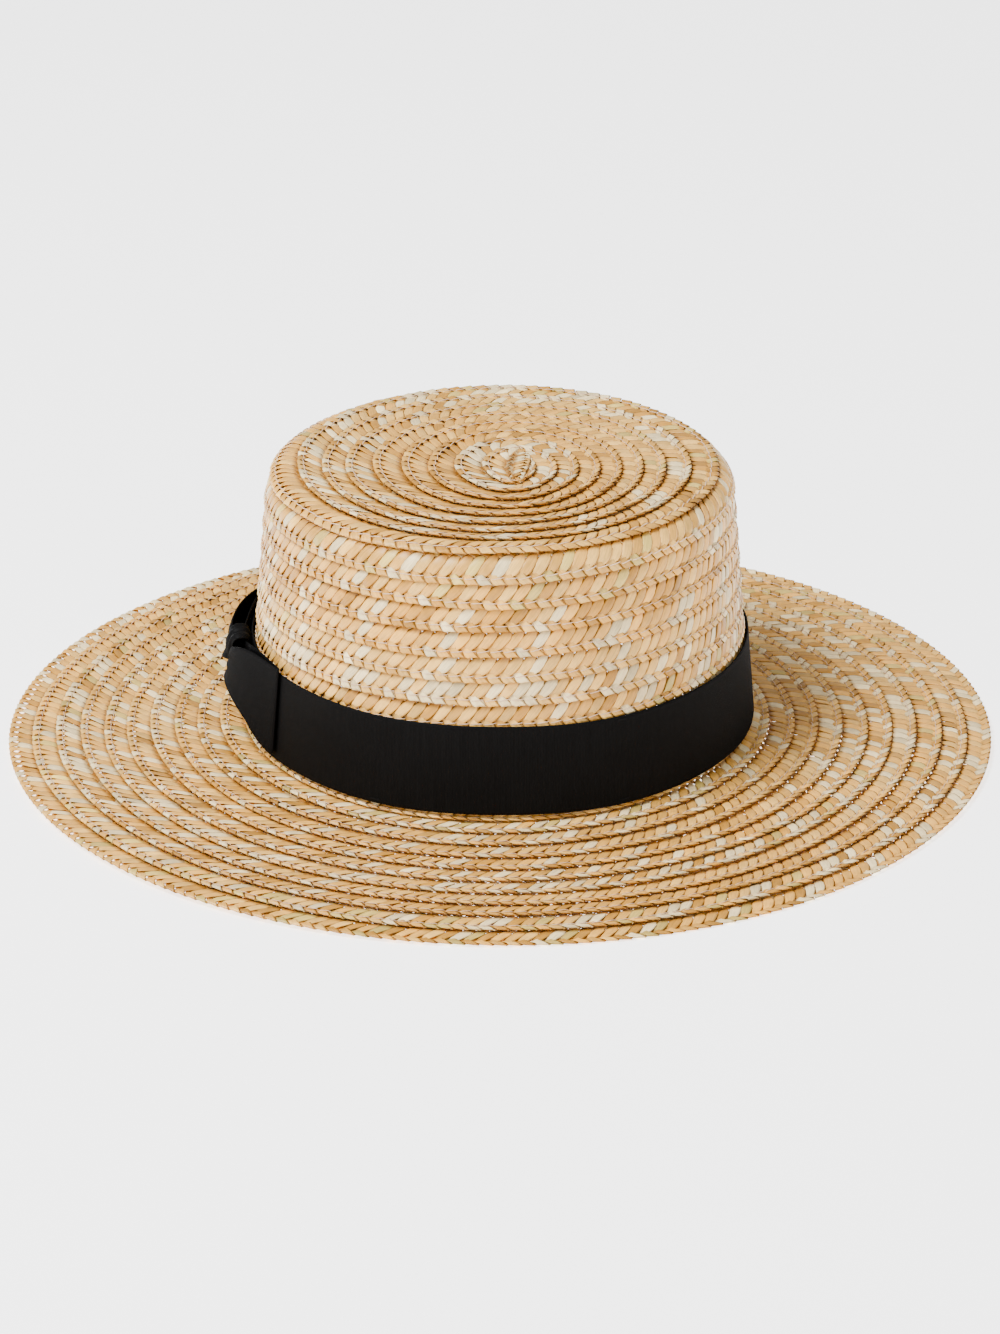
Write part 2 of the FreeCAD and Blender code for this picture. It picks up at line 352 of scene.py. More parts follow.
def bump(tree, shader, height, distance, strength=1.0):
    """Raise the surface by a height value."""
    node = add_node(tree, "ShaderNodeBump", Strength=strength, Distance=distance)
    tree.links.new(height, node.inputs["Height"])
    tree.links.new(node.outputs["Normal"], shader.inputs["Normal"])


def straw_material():
    """Straw: the mesh's colour, darkened and lightened in streaks, with painted shade at the strand
    edges and a waxy shine.
    """
    material, tree, shader = new_material("straw")
    colour = add_node(tree, "ShaderNodeAttribute", attribute_name="straw").outputs["Color"]
    uv = add_node(tree, "ShaderNodeUVMap", uv_map="UVMap").outputs["UV"]
    streaks = noise(tree, mapped(tree, uv, (0.12, 5.0, 1.0)), 1.6, 3.0, 0.6)
    blotches = noise(tree, mapped(tree, uv, (0.25, 0.6, 1.0)), 1.0, 2.0)
    shade = maths(tree, "MULTIPLY", remap(tree, streaks, 0.25, 0.75, 0.74, 1.22),
                  remap(tree, blotches, 0.3, 0.7, 0.88, 1.10))
    # Painted shade: each strand's edges, across its UV map, are tinted darker and browner where they
    # curve down into the gaps.
    split = tree.nodes.new("ShaderNodeSeparateXYZ")
    tree.links.new(uv, split.inputs[0])
    off_middle = maths(tree, "ABSOLUTE", maths(tree, "SUBTRACT", split.outputs["Y"], 0.5))
    painted_edge_shade = add_node(tree, "ShaderNodeMix", data_type="RGBA")
    painted_edge_shade.inputs["A"].default_value = (1, 1, 1, 1)
    painted_edge_shade.inputs["B"].default_value = (0.60, 0.42, 0.24, 1)
    tree.links.new(remap(tree, off_middle, 0.42, 0.5, 0.0, 1.0), painted_edge_shade.inputs["Factor"])
    tinted = add_node(tree, "ShaderNodeVectorMath", operation="MULTIPLY")
    tree.links.new(colour, tinted.inputs[0])
    tree.links.new(painted_edge_shade.outputs["Result"], tinted.inputs[1])
    shaded = add_node(tree, "ShaderNodeVectorMath", operation="SCALE")
    tree.links.new(tinted.outputs["Vector"], shaded.inputs[0])
    tree.links.new(shade, shaded.inputs["Scale"])
    tree.links.new(shaded.outputs["Vector"], shader.inputs["Base Color"])
    tree.links.new(remap(tree, streaks, 0.3, 0.7, 0.30, 0.50), shader.inputs["Roughness"])
    shader.inputs["Specular IOR Level"].default_value = 0.42
    bump(tree, shader, streaks, 0.00006, 0.6)
    return material


STRAW = straw_material()
print("made", STRAW.name)

# %% [markdown]
# ## One strand of the plait
# In a seven-end plait each straw goes slantwise from edge to edge, folds over, and comes back. On
# the way it crosses six others: over one, under two, over two, under one. A strand is a thin
# lens-shaped strip, so its path is a line of stations, its height goes up and down between them, and
# its cross-section is square to its path. Seven ends is a choice, as about a third of the plait is
# always covered. Here the covered part is also drawn together and the open part spread, so that the
# strands that show get their size. A real plait would be even. Where a strand folds, its last
# cross-section lies along the edge of the plait and has no thickness, so that the next strand starts
# exactly there. The whole plait could be a bump pattern, but real strips catch the light and leave
# real dark gaps.

# %% The shape of one strand
ENDS = 7
SPACING = 4.45          # from one strand to the next, along the plait
SHOWN = 8.9             # how much of the plait's width the open half takes
LIFT = 0.33             # how far an upper strand stands above the plait's middle
CROWN, BELLY = 0.17, 0.18
STATIONS = np.array([
    # cells across, height in lifts, turn of the cross-section along the edge, width
    (-3.50, 0.00, 1.0, 1.00), (-3.43, 0.80, 0.7, 1.00), (-3.25, 1.30, 0.3, 0.96),
    (-2.90, 1.30, 0.0, 1.04), (-2.50, 1.25, 0.0, 1.04), (-2.15, 0.75, 0.0, 0.92),
    (-1.85, -0.75, 0.0, 0.92), (-1.15, -1.1, 0.0, 1.0), (-0.45, -0.75, 0.0, 0.88),
    (-0.10, 0.75, 0.0, 0.88), (0.45, 1.10, 0.0, 1.12), (1.00, 1.25, 0.0, 1.18),
    (1.60, 1.10, 0.0, 1.12), (2.15, 0.75, 0.0, 0.88), (2.50, -0.85, 0.0, 0.88),
    (2.90, -1.30, 0.0, 1.00), (3.25, -1.30, 0.3, 0.96), (3.43, -0.80, 0.7, 1.00),
    (3.50, 0.00, 1.0, 1.00)])
RING = np.array([(-1.0, 0.0), (-0.62, CROWN), (0.62, CROWN), (1.0, 0.0), (0.0, -BELLY)])


def strand_grid(way):
    """Length, across and height of one strand, for each station and each corner of its ring.

    Across is piecewise linear in the cells, with its bend at the middle strand crossing. The ring is
    square to the slant.
    A strand of the other way is over where this one is under, and its length runs backwards."""
    cells, lifts, turned, wide = (column[:, None] for column in STATIONS.T)
    half_ends = ENDS / 2
    middle = PLAIT_HALF - SHOWN
    cell = np.where(cells > 0, SHOWN, PLAIT_HALF + middle) / half_ends
    run = SPACING / 2
    size = np.hypot(cell, run)
    half = run * cell / size * wide * (1 - turned)
    offset, bulge = RING.T
    length = way * run * cells + half_ends * run + (half * cell / size + turned * run) * offset
    across = np.interp(cells, (-half_ends, 0.0, half_ends), (-PLAIT_HALF, middle, PLAIT_HALF))
    across = across - way * half * run / size * offset
    thick = np.sqrt(np.clip(1 - turned, 0.0, 1.0))
    return np.stack([length, across, way * lifts * LIFT + bulge * thick])


STRANDS = {way: strand_grid(way) for way in (1, -1)}
RINGS = STRANDS[1][0].shape
print("one strand has", STRANDS[1][0].size, "points and goes", ENDS * SPACING / 2, "mm along")

# %% [markdown]
# ## The straws' colours
# Each of the seven ends is a straw some 12 to 34 cm long, and a new one is laid in when it runs out.
# So a colour lasts for twenty to sixty strands and comes back at every seventh. The five colours are
# chosen for bleached wheat straw, and each straw differs a little from its colour.

# %% Colours of the straws
SHADES = np.array([
    (0.80, 0.41, 0.075), (0.87, 0.50, 0.12), (0.94, 0.73, 0.38), (0.60, 0.28, 0.035),
    (0.70, 0.49, 0.12)])
SHARES = (0.42, 0.24, 0.18, 0.10, 0.06)
SHORTEST, LONGEST = 20, 58      # how many strand starts one straw lasts for
rng = np.random.default_rng(21)
TOTAL_STRANDS = int(LENGTHS[-1] / SPACING)
straw_joins = [np.cumsum(rng.uniform(SHORTEST, LONGEST, TOTAL_STRANDS // SHORTEST + 2))
               for _ in range(ENDS)]
straw_colours = [SHADES[rng.choice(len(SHADES), len(joins) + 1, p=SHARES)]
                 * rng.normal(1.0, 0.11, (len(joins) + 1, 1)) for joins in straw_joins]


def colour_of(strand, end):
    """Colour of the straw that is laid in at a strand of one end of the plait."""
    chosen = np.zeros((len(strand), 3))
    for number in range(ENDS):
        mine = end == number
        chosen[mine] = straw_colours[number][np.searchsorted(straw_joins[number], strand[mine])]
    return chosen * rng.normal(1.0, 0.09, (len(strand), 1))


print(sum(len(j) for j in straw_joins), "straws in", TOTAL_STRANDS, "strands each way")

# %% [markdown]
# ## Every turn of the plait
# A turn is made in one go: the strand's grid is copied to every start along the turn, once slanting
# one way and once the other, with small random changes in width, height and place. Each turn is one
# piece, so that it stands for its own row of the CAD. Near the outer edge the sewing thread pulls a
# groove into the plait and leaves the edge standing as a roll.

# %% Weave and lay the turns
SEAM_INSET = 2.2        # how far the seam lies from the outer edge
GROOVE, GROOVE_WIDTH = 0.40, 0.6
ALONG_CELL = 3.3        # length of straw, in the UV map, over one cell
ALONG_STRAND = 23.0     # and from one strand to the next


def groove(across):
    """Depth of the groove along the seam: a narrow bell beside the edge."""
    return GROOVE * np.exp(-((across - PLAIT_HALF + SEAM_INSET) / GROOVE_WIDTH) ** 2)


def shaded(across, height):
    """Share of light left by painted shade, which darkens the straw's colour where shade falls.

    It is least at mid-height, where strands cross, and beside the next turn's edge."""
    crossing = 0.55 + 0.45 * np.clip(np.abs(height) / 0.30, 0.0, 1.0)
    crease = 0.42 + 0.58 * np.clip((across - PLAIT_HALF + PITCH - 0.1) / 1.4, 0.0, 1.0)
    return np.where(height > 0, crossing * crease, crossing)


def weave(first, last, way):
    """Flat points of all strands that start between two numbers and slant one way."""
    count = last - first
    start = (np.arange(first, last) + (0.0 if way > 0 else 0.5)) * SPACING
    length, across, height = (np.repeat(a[None], count, axis=0) for a in STRANDS[way])
    shape = (count, 1, 1)
    inner = (np.abs(STATIONS[:, 0]) < 3.2)[None, :, None]
    middle = STRANDS[way][0].mean(axis=1)[None, :, None]
    width = np.where(inner, rng.normal(1.0, 0.07, shape), 1.0)
    drift = np.where(inner, rng.normal(0.0, 0.11, shape), 0.0)
    length = middle + (length - middle) * width + start[:, None, None] + drift
    roll = rng.normal(0.0, 0.09, shape) * RING[:, 0][None, None, :] * inner
    plump = np.where(inner & (height > 0), rng.normal(0.02, 0.05, shape), 0.0)
    return length, across, height + plump + roll - groove(across)


def plait_turn(name, first, last, to_world=lay):
    """One turn of the plait, both slants, with straw colours that carry painted shade and a UV map
    along the straw.
    """
    numbers = np.arange(first, last)
    points, faces, colours, along = [], [], [], []
    for way in (1, -1):
        length, across, height = weave(first, last, way)
        faces.append(tube_faces(len(numbers), *RINGS, False).reshape(-1, 4) + sum(map(len, points)))
        points.append(to_world(length, across, height).reshape(-1, 3))
        end = numbers % ENDS if way > 0 else (numbers - 3) % ENDS
        # Painted shade: the straw colour is made darker and browner where strands cross and beside
        # the next turn's edge.
        shade = shaded(across, height + groove(across)).reshape(-1, 1)
        painted_shade_rgb = np.concatenate([shade**0.85, shade**1.1, shade**1.5], axis=1)
        colours.append(np.repeat(colour_of(numbers, end), RINGS[0] * RINGS[1], axis=0) * painted_shade_rgb)
        u = STATIONS[:, 0][None, :, None] * ALONG_CELL + ALONG_STRAND * numbers[:, None, None]
        along.append(np.broadcast_to(u, length.shape).ravel())
    piece = new_piece(name, np.concatenate(points), np.concatenate(faces))
    round_ring = np.tile((0.0, 0.19, 0.81, 1.0, 0.5), 2 * len(numbers) * RINGS[0])
    write_uv(piece, np.concatenate(along), round_ring)
    write_colour(piece, "straw", np.concatenate(colours))
    piece.data.materials.append(STRAW)
    return piece


def strand_at(turns):
    """Number of the strand that starts at a number of turns."""
    return int(round(np.interp(2 * np.pi * turns, TURNS, LENGTHS) / SPACING))


counts = (("tip", SIDE_START), ("side", BRIM_START - SIDE_START), ("brim", ROWS - BRIM_START))
row_names = ["%s_row_%02d" % (part, n + 1) for part, count in counts for n in range(count)]
for number, row_name in enumerate(row_names):
    first = number - 0.5 * (number == 0)
    piece = plait_turn(row_name + "_woven", strand_at(first), strand_at(number + 1))
    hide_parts(row_name)
print("wove", len(row_names), "turns, the last with", len(piece.data.polygons), "faces")

# %% [markdown]
# ## The start of the plait
# The plait's own beginning is gathered small and laid along the middle of the tip, on top of the
# slot that the first turn leaves. It is the same weave, laid by another function: drawn out to a
# leaf shape whose ends go under the first turn.

# %% The leaf-shaped start
LEAF_HALF_LENGTH, LEAF_HALF_WIDTH = 18.0, 4.0
LEAF_STRANDS = 10


def lay_start(length, across, height):
    """The leaf: width as a root of a parabola along it, a slight bend, and an arch over the slot."""
    whole = (LEAF_STRANDS + 2.9) * SPACING
    along = 2 * length / whole - 1
    width = LEAF_HALF_WIDTH * np.sqrt(np.clip(1 - along**2, 0.0, 1.0)) / PLAIT_HALF
    x = START_SIDESTEP + 0.9 * np.sin(2.2 * along) + across * width
    arch = 1.5 * THICKNESS + 1.1 - 1.3 * along**2 - 0.15 * (across / PLAIT_HALF) ** 2
    return np.stack([x, LEAF_HALF_LENGTH * along, TIP_HEIGHT + arch + 0.6 * height], axis=-1)


leaf = plait_turn("plait_start_woven", 0, LEAF_STRANDS, lay_start)
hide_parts("plait_start")
print("the leaf has", len(leaf.data.polygons), "faces")

# %% [markdown]
# ## The sewing thread
# A sewing machine runs along the plait while the hat is turned, so that one row of stitches, each
# about four and a half millimetres long, holds each turn to the next. On top the stitches lie in the
# groove, and underneath they come out through the turn below. Each stitch is a small tube with four
# sides that starts and ends inside the straw. A single ring of cord would be simpler but looks like
# a wire.

# %% Stitches
STITCH = 4.45
THREAD_HALF = 0.17
STITCH_SHAPE = np.array([
    # share of the length, height, thickness
    (0.02, -0.45, 0.0), (0.07, 0.02, 0.9), (0.25, 0.24, 1.0), (0.75, 0.24, 1.0), (0.93, 0.02, 0.9),
    (0.98, -0.45, 0.0)])
THREAD_RING = np.array([(1, 1), (-1, 1), (-1, -1), (1, -1)]) * math.sqrt(0.5)


def sew(name, starts, slant, height, to_world, half=THREAD_HALF, stitch=STITCH):
    """Stitches from their starts: tubes that rise and fall, laid by a function of the flat seam."""
    share, rise, thick = (column[None, :, None] for column in STITCH_SHAPE.T)
    flip = -1.0 if height < 0 else 1.0
    ring_across, ring_up = (column[None, None, :] for column in THREAD_RING.T)
    begin = np.asarray(starts)[:, None, None]
    lean = slant * rng.normal(1.0, 0.35, begin.shape)
    length = begin + share * stitch + 0 * ring_up
    across = (share - 0.5) * lean + ring_across * thick * half + rng.normal(0, 0.05, begin.shape)
    up = height + flip * rise + ring_up * thick * half
    points = to_world(length, across, up)
    piece = new_piece(name, points, tube_faces(len(starts), len(STITCH_SHAPE), 4, False))
    weld(piece)
    return piece


def thread_material(name, colour, shine=0.5):
    """Twisted thread: a slanting fine noise for its plies, and a soft shine."""
    material, tree, shader = new_material(name)
    coordinate = tree.nodes.new("ShaderNodeTexCoord").outputs["Object"]
    plies = noise(tree, mapped(tree, coordinate, (2600, 2600, 900)), 1.0, 1.0)
    mix = add_node(tree, "ShaderNodeMix", data_type="RGBA")
    mix.inputs["A"].default_value = (*[c * 0.72 for c in colour], 1)
    mix.inputs["B"].default_value = (*colour, 1)
    tree.links.new(plies, mix.inputs["Factor"])
    tree.links.new(mix.outputs["Result"], shader.inputs["Base Color"])
    shader.inputs["Roughness"].default_value = 0.6
    shader.inputs["Specular IOR Level"].default_value = shine
    bump(tree, shader, plies, 0.00008, 0.5)
    return material


SEAM_THREAD = thread_material("seam_thread", (0.92, 0.64, 0.42))


def seam_on_top(length, across, up):
    """The seam as it is seen from outside: in the groove of the upper turn."""
    return lay(length, PLAIT_HALF - SEAM_INSET + across, up)


def seam_below(length, across, up):
    """The same seam on the underside, one thickness lower, where it has come through."""
    return lay(length, PLAIT_HALF - SEAM_INSET + across, up - THICKNESS)


def seam_of(part, first_turn, last_turn):
    """The seams of a run of turns: the outside stitches stand for the CAD's threads."""
    first, last = (np.interp(2 * np.pi * turn, TURNS, LENGTHS) for turn in (first_turn, last_turn))
    starts = np.arange(first, last - STITCH, STITCH)
    top = sew(part + "_seam_stitches", starts, 0.6, 0.28, seam_on_top)
    below = sew(part + "_seam_under_stitches", starts + STITCH / 2, -0.4, -0.36, seam_below)
    for piece in (top, below):
        piece.data.materials.append(SEAM_THREAD)
    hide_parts(part + "_seam_thread")
    return len(starts)


stitches = [seam_of("tip", 0.15, SIDE_START), seam_of("side", SIDE_START, BRIM_START),
            seam_of("brim", BRIM_START, ROWS - 1)]
print("stitches on tip, side and brim:", stitches)

# %% [markdown]
# ## Cloth strips
# The ribbon, the bow and the sweatband are all woven strips with firm edges. One helper makes them:
# a cross-section of the strip, flat with two rounded edges, is carried along stations, and a
# function says where a place (along, across, through) of the strip lies in space. The helper checks
# which way the surface faces by its volume, so that every strip is closed and faces outwards.

# %% Strip helper
def strip_section(width, thickness, rows):
    """Places round the strip's cross-section: up the face, round the edge, and down the back."""
    edge = thickness / 2
    face = np.concatenate([[-width / 2 + edge], np.linspace(-width / 2 + 1.3, width / 2 - 1.3, rows),
                           [width / 2 - edge]])
    across = np.concatenate([face, [width / 2], face[::-1], [-width / 2]])
    through = np.concatenate([np.full(len(face), edge), [0.0], np.full(len(face), -edge), [0.0]])
    return across, through


def make_strip(name, along, section, to_world, ring_closed, body="hat"):
    """A closed piece of cloth: the section at every station, drawn in to a line at free ends."""
    across, through = (part[None, :] for part in section)
    u = np.asarray(along, float)[:, None] + 0 * across
    t = np.broadcast_to(through, u.shape).copy()
    if not ring_closed:
        t[0], t[-1] = 0.0, 0.0
    points = to_world(u, across + 0 * u, t)
    stations, ring = u.shape
    faces = tube_faces(1, stations, ring, False).reshape(-1, 4)
    if ring_closed:
        faces = tube_faces(1, stations + 1, ring, False).reshape(-1, 4) % (stations * ring)
    corners = points.reshape(-1, 3)[faces]
    centred = corners - corners.mean(axis=(0, 1))
    volume = np.einsum("ij,ij->", centred[:, 0], np.cross(centred[:, 1], centred[:, 2]))
    volume += np.einsum("ij,ij->", centred[:, 0], np.cross(centred[:, 2], centred[:, 3]))
    piece = new_piece(name, points, faces if volume > 0 else faces[:, ::-1], body)
    write_uv(piece, u, across + 0 * u)
    weld(piece)
    return piece


# %% [markdown]
# ## The wall under the ribbon
# The ribbon, the bow and the sweatband all follow the crown's wall, which leans in by 4.8 degrees. A
# place beside it is given by the direction from the hat's axis, a height above the table, and how
# far it stands off the rows' inside. The heights come from the CAD's boxes.

# %% Places beside the wall
WALL_LEAN = math.radians(3.0 - 88.2 + 90.0)
FOOT_WIDTH, FOOT_HEIGHT = (float(v) for v in surface(WALL_LOW, 0.0))
RIBBON_GAP = 0.12
RIBBON_THICKNESS = 0.6
BAND_MIDDLE = 2 * THICKNESS + RIBBON_GAP + RIBBON_THICKNESS / 2


def wall_width(z, above):
    """Half width of the oval at a height: the foot's, less the wall's lean, plus the offset."""
    up = (z - FOOT_HEIGHT - above * math.sin(WALL_LEAN)) / math.cos(WALL_LEAN)
    return FOOT_WIDTH - up * math.sin(WALL_LEAN) + above * math.cos(WALL_LEAN)


def beside_wall(azimuth, z, above):
    """World point, in millimetres, at a height and an offset from the wall."""
    x, y = oval(wall_width(z, above), azimuth)
    return np.stack([x, y, z + 0 * x], axis=-1)


def round_the_oval(width):
    """Length and azimuth round an oval, as a table: each step is the arc's radius times its angle."""
    azimuth = np.linspace(0, 2 * np.pi, 1441)
    ends = np.abs(np.sin((azimuth[1:] + azimuth[:-1]) / 2)) > math.sqrt(0.5)
    steps = (width + np.where(ends, OVAL_EXTRA - ARC, ARC)) * np.diff(azimuth)
    return np.concatenate([[0.0], np.cumsum(steps)]), azimuth


band_low, band_high = (corner[2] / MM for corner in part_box("ribbon_band"))
BAND_WIDTH = band_high - band_low
BAND_LENGTHS, BAND_AZIMUTHS = round_the_oval(wall_width((band_low + band_high) / 2, BAND_MIDDLE))
print("the band is %.0f mm wide and %.0f mm round" % (BAND_WIDTH, BAND_LENGTHS[-1]))

# %% [markdown]
# ## Grosgrain ribbon
# Grosgrain has ribs across its width, nearly two to the millimetre here, made by a thick weft under
# a dense black warp. The ribs are real waves on the surface, four columns to a rib, so that they
# take the light as the real ones do. The material adds the fine warp threads, which are far too many
# to model, as bump.

# %% Ribbon material and ribs
RIB_PITCH = 0.55
RIB_HEIGHT = 0.06


def grosgrain_material(name, dark, light, warp_bump):
    """Woven ribbon: fine threads along it from a stretched noise on its UV map, and a soft sheen."""
    material, tree, shader = new_material(name)
    uv = add_node(tree, "ShaderNodeUVMap", uv_map="UVMap").outputs["UV"]
    warp = noise(tree, mapped(tree, uv, (0.8, 9.0, 1.0)), 1.0, 2.0, 0.6)
    ribs = noise(tree, mapped(tree, uv, (1 / RIB_PITCH, 0.05, 1.0)), 1.0, 1.0, 0.4)
    wear = noise(tree, mapped(tree, uv, (0.03, 0.06, 1.0)), 1.0, 2.0)
    mix = add_node(tree, "ShaderNodeMix", data_type="RGBA")
    mix.inputs["A"].default_value = (*dark, 1)
    mix.inputs["B"].default_value = (*light, 1)
    blend = tree.nodes.new("ShaderNodeMath")
    blend.operation = "MULTIPLY"
    tree.links.new(remap(tree, ribs, 0.3, 0.7, 0.35, 1.0), blend.inputs[0])
    tree.links.new(remap(tree, wear, 0.3, 0.7, 0.4, 1.0), blend.inputs[1])
    tree.links.new(blend.outputs[0], mix.inputs["Factor"])
    tree.links.new(mix.outputs["Result"], shader.inputs["Base Color"])
    tree.links.new(remap(tree, warp, 0.3, 0.7, 0.5, 0.72), shader.inputs["Roughness"])
    shader.inputs["Specular IOR Level"].default_value = 0.07
    bump(tree, shader, warp, warp_bump, 0.5)
    return material


RIBBON = grosgrain_material(
    "black_grosgrain", (0.0008, 0.0008, 0.0010), (0.0030, 0.0030, 0.0033), 0.00004)


def rib(along, through):
    """Height of the ribs on both faces: a sine along the ribbon."""
    return np.sign(through) * RIB_HEIGHT * np.sin(2 * np.pi * along / RIB_PITCH)


# %% [markdown]
# ## The ribbon band
# The band lies round the foot of the crown. It was drawn tight, but cloth on straw is never quite
# even: it bulges a little between its tacks, and its edges swing up and down by parts of a
# millimetre.

# %% Band
def band_place(u, v, t):
    """Azimuth from the length round the oval, with slow sines in its offset and height."""
    azimuth = -np.interp(u, BAND_LENGTHS, BAND_AZIMUTHS)
    swing = 0.22 * np.sin(3 * azimuth + 0.5) + 0.16 * np.sin(7 * azimuth)
    bulge = 0.12 + 0.10 * np.sin(9 * azimuth + 1) * np.cos(np.pi * v / BAND_WIDTH)
    z = (band_low + band_high) / 2 + v + swing
    return beside_wall(azimuth, z, BAND_MIDDLE + bulge + t + rib(u, t))


rib_count = int(BAND_LENGTHS[-1] / RIB_PITCH)
band_stations = np.arange(4 * rib_count) / (4 * rib_count) * BAND_LENGTHS[-1]
band = make_strip("ribbon_band_cloth", band_stations, strip_section(BAND_WIDTH, RIBBON_THICKNESS, 2),
                  band_place, True)
band.data.materials.append(RIBBON)
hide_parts("ribbon_band")
print("the band has", rib_count, "ribs and", len(band.data.polygons), "faces")

# %% [markdown]
# ## The bow's loops
# Each loop of the bow is a length of the same ribbon that leaves the knot, bulges off the crown,
# folds at its end, and comes back behind itself. At the knot the whole width is gathered into about
# a quarter of its height, and the gathers fan out from there. A few listed points say where the
# strip goes and how high it reaches, and a smooth curve (a cubic B-spline, the mean of four
# neighbours with moving shares) runs along them.

# %% Loops
BOW_AZIMUTH = math.radians(185.0)
KNOT_MIDDLE = 27.0      # height of the knot above the table
KNOT_RADIUS = wall_width(KNOT_MIDDLE, BAND_MIDDLE) + ARC
bow_low, bow_high = (corner[2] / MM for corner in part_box("bow_front_loop"))
FRONT_ROUTE = np.array([
    # along the crown, off the ribbon at the lower and the upper edge, the two edges, gathers
    (2.0, 5.6, 4.0, bow_low + 18.0, bow_high - 5.5, 1.0),
    (6.0, 8.6, 7.2, bow_low + 17.0, bow_high - 5.5, 0.7),
    (11.0, 10.2, 9.2, bow_low + 16.0, bow_high - 3.2, 0.3),
    (20.0, 9.0, 6.6, bow_low + 12.5, bow_high + 0.6, 0.0),
    (31.0, 5.8, 3.4, bow_low + 6.8, bow_high + 0.8, 0.0),
    (38.0, 3.4, 2.1, bow_low + 1.8, bow_high, 0.0),
    (42.4, 2.3, 1.6, bow_low, bow_high, 0.0),
    (43.3, 1.4, 1.0, bow_low, bow_high, 0.0),
    (40.5, 0.8, 0.75, bow_low, bow_high, 0.0),
    (34.0, 1.2, 0.8, bow_low, bow_high, 0.0),
    (25.0, 2.6, 1.1, bow_low + 1.0, bow_high, 0.0),
    (16.0, 4.0, 1.6, bow_low + 5.0, bow_high - 1.5, 0.0),
    (8.0, 4.6, 2.2, bow_low + 10.0, bow_high - 3.0, 0.2),
    (1.0, 4.2, 3.0, bow_low + 13.0, bow_high - 4.0, 0.4)])
BACK_ROUTE = FRONT_ROUTE * (-1.0, 1.0, 1.0, 1.0, 1.0, 1.0)
BACK_ROUTE[:, 4] += 0.8
BACK_ROUTE[2:5, 2] -= (1.2, 0.9, 0.4)


def spline(points, count):
    """A smooth curve along points: each place is a mean of four neighbours with cubic shares."""
    held = np.concatenate([points[:1], points[:1], points, points[-1:], points[-1:]])
    place_on = np.linspace(0, len(held) - 3 - 1e-6, count)
    first, f = place_on.astype(int), (place_on % 1)[:, None]
    shares = ((1 - f) ** 3, 3 * f**3 - 6 * f**2 + 4, -3 * f**3 + 3 * f**2 + 3 * f + 1, f**3)
    return sum(share * held[first + step] for step, share in enumerate(shares)) / 6


def ribbon_loop(name, route):
    """A loop of the bow: the section is carried along the route, square to it in the plan."""
    dense = spline(route, 600)
    middle_out = dense[:, 1:3].mean(axis=1)
    steps = np.hypot(np.diff(dense[:, 0]), np.diff(middle_out))
    lengths = np.concatenate([[0.0], np.cumsum(steps)])
    across, through = strip_section(BAND_WIDTH, RIBBON_THICKNESS * 0.8, 13)
    columns = int(lengths[-1] / RIB_PITCH) * 4

    def loop_place(u, v, t):
        """Route at u; v runs from the lower edge to the upper; t and the gathers are square to it."""
        x, out_low, out_high, low, high, gather = (
            np.interp(u, lengths, column) for column in dense.T)
        slopes = (np.gradient(line, lengths) for line in (dense[:, 0], middle_out))
        slope_x, slope_out = (np.interp(u, lengths, slope) for slope in slopes)
        size = np.hypot(slope_x, slope_out)
        share = v / BAND_WIDTH + 0.5
        out = out_low + (out_high - out_low) * share
        wave = gather * (0.8 * np.sin(5.2 * np.pi * share + 0.8) + 0.35 * np.sin(9 * np.pi * share))
        off = t + rib(u, t) + wave
        side = math.copysign(1.0, route[3, 0])
        azimuth = BOW_AZIMUTH + (x - side * off * slope_out / size) / KNOT_RADIUS
        z = low + share * (high - low)
        above = BAND_MIDDLE + RIBBON_THICKNESS / 2 + out + side * off * slope_x / size
        return beside_wall(azimuth, z, above)

    stations = np.linspace(0, lengths[-1], columns + 1)
    piece = make_strip(name, stations, (across, through), loop_place, False, None)
    piece.data.materials.append(RIBBON)
    return piece, lengths[-1]


front_loop, front_length = ribbon_loop("bow_front_loop_cloth", FRONT_ROUTE)
back_loop, back_length = ribbon_loop("bow_back_loop_cloth", BACK_ROUTE)
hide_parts("bow_front_loop")
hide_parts("bow_back_loop")
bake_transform(front_loop)
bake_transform(back_loop)
print("the loops are %.0f and %.0f mm long" % (front_length, back_length))

# %% [markdown]
# ## The knot
# The knot isn't tied: a short end of the same ribbon, folded and gathered lengthwise, is wrapped
# round the middle of the bow and tacked behind. So it is a closed sleeve: a rounded rectangle, seen
# from the side, whose width is drawn in at the front and whose gathers run along the wrap.

# %% Knot
KNOT_HALF_WIDTH = 6.6
KNOT_HEIGHT_HALF = 6.2
KNOT_DEPTH_HALF = 4.0


def knot_place(u, v, t):
    """The sleeve: a superellipse in height and depth, with gathers as waves and a waist in front."""
    cosine, sine = np.cos(u), np.sin(u)
    power = 0.72
    gathers = 0.42 * np.cos(2 * np.pi * 3.2 * v + 0.9 * np.sin(u))
    gathers = gathers + 0.2 * np.cos(2 * np.pi * 5.3 * v + 1.0)
    swell = t + gathers + 0.5 * (1 - (2 * v) ** 2)
    depth = np.sign(cosine) * np.abs(cosine) ** power * (KNOT_DEPTH_HALF - 0.7) + cosine * swell
    tall = np.sign(sine) * np.abs(sine) ** power * (KNOT_HEIGHT_HALF - 1.0) + sine * swell
    waist = KNOT_HALF_WIDTH * (0.82 + 0.18 * np.abs(sine) ** 1.5)
    azimuth = BOW_AZIMUTH + (2 * v * waist + 0.9 * sine) / KNOT_RADIUS
    z = bow_high - KNOT_HEIGHT_HALF - 0.6 + tall
    return beside_wall(azimuth, z, BAND_MIDDLE + RIBBON_THICKNESS / 2 + KNOT_DEPTH_HALF + 0.4 + depth)


def knot_section(rows):
    """The gathered strip's cross-section, in shares of its width."""
    face = np.linspace(-0.49, 0.49, rows)
    across = np.concatenate([face, [0.5], face[::-1], [-0.5]])
    through = np.concatenate([np.full(rows, 0.25), [0.0], np.full(rows, -0.25), [0.0]])
    return across, through


